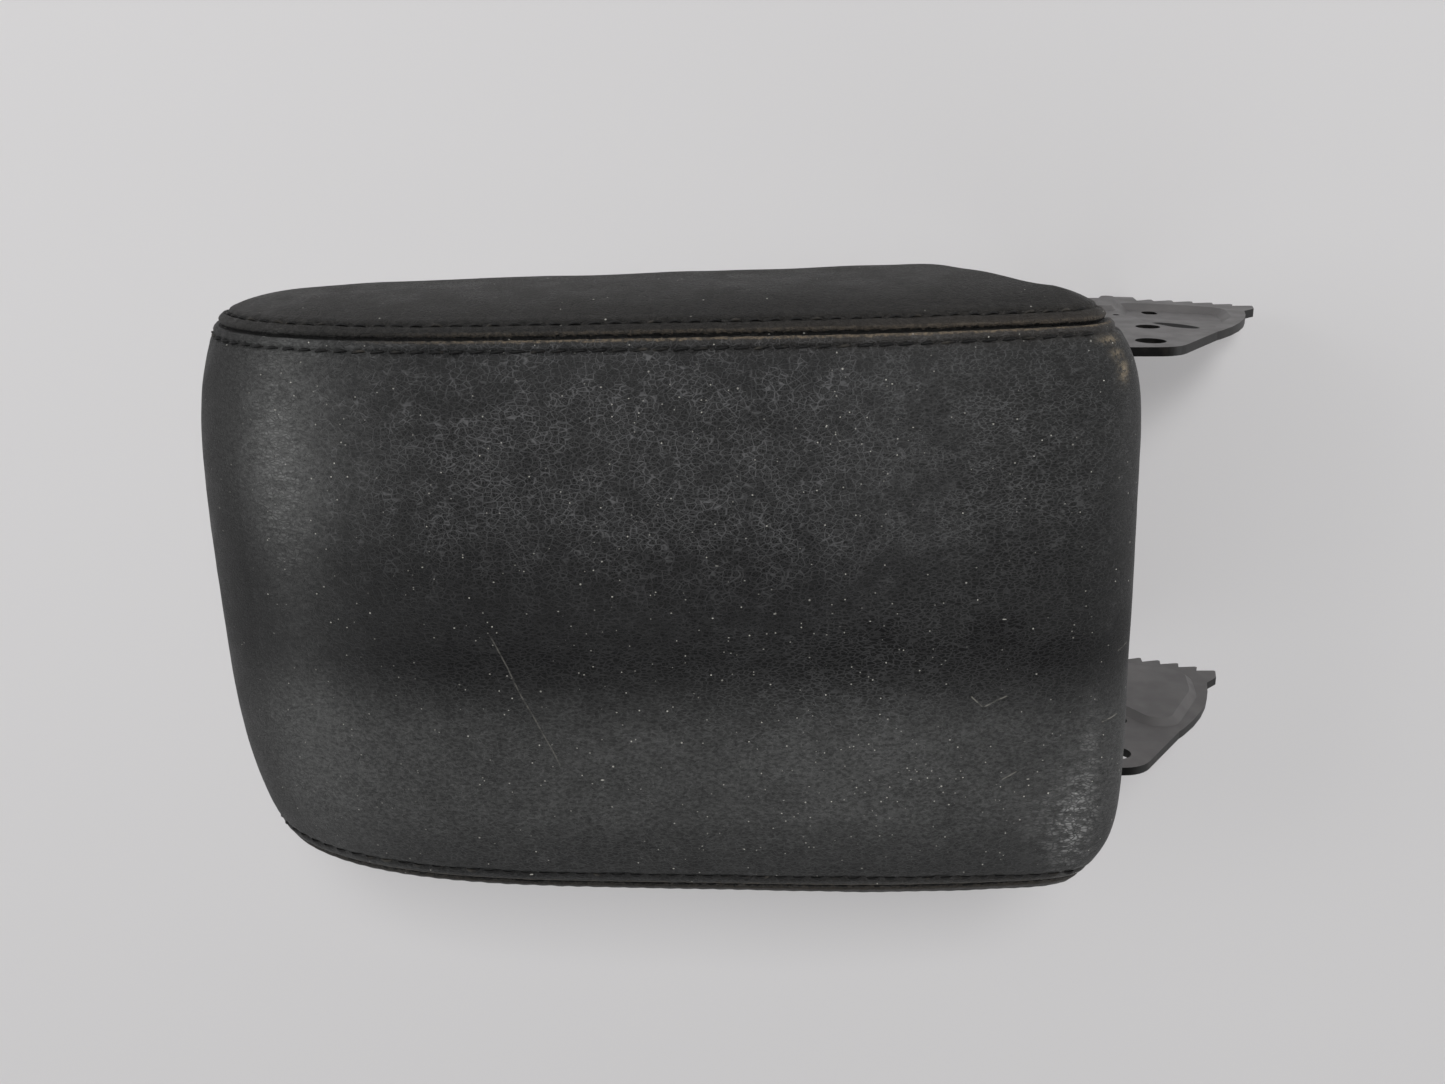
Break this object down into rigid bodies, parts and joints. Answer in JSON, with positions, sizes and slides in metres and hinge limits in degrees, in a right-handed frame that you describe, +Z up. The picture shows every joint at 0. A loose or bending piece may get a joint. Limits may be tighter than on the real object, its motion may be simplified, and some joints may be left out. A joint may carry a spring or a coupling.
{
  "type": "center console armrest lid",
  "caption": "Padded, stitched leatherette armrest lid of a car's center console, carried by two toothed steel hinge plates.",
  "frame": {"origin": "middle of the pivot axis, which runs along Y through the round hole at the top of each hinge plate", "axes": "+X to the hinge end of the closed lid, which is the rear of the car, +Y to its right-hand side, +Z up out of the padded top"},
  "size_m": [0.3759, 0.2088, 0.1765],
  "materials": {
    "leather": "grained black leatherette, worn and dusty",
    "foam": "moulded foam",
    "plastic": "moulded, fine matt texture",
    "painted_steel": "satin black paint on pressed steel",
    "zinc_plate": "zinc plated",
    "rubber": "matt"
  },
  "bodies": {
    "root": {"bump_stop_left": "rubber", "bump_stop_right": "rubber", "cover_center_panel": "leather", "cover_screw_left_front": "zinc_plate", "cover_screw_left_middle": "zinc_plate", "cover_screw_left_rear": "zinc_plate", "cover_screw_right_front": "zinc_plate", "cover_screw_right_middle": "zinc_plate", "cover_screw_right_rear": "zinc_plate", "cover_side_panel_left": "leather", "cover_side_panel_right": "leather", "foam_pad": "foam", "hinge_plate_left": "painted_steel", "hinge_plate_right": "painted_steel", "pad_carrier": "plastic", "plate_screw_left_front": "zinc_plate", "plate_screw_left_middle": "zinc_plate", "plate_screw_left_rear": "zinc_plate", "plate_screw_right_front": "zinc_plate", "plate_screw_right_middle": "zinc_plate", "plate_screw_right_rear": "zinc_plate", "underside_cover": "plastic"}
  },
  "joints": []
}
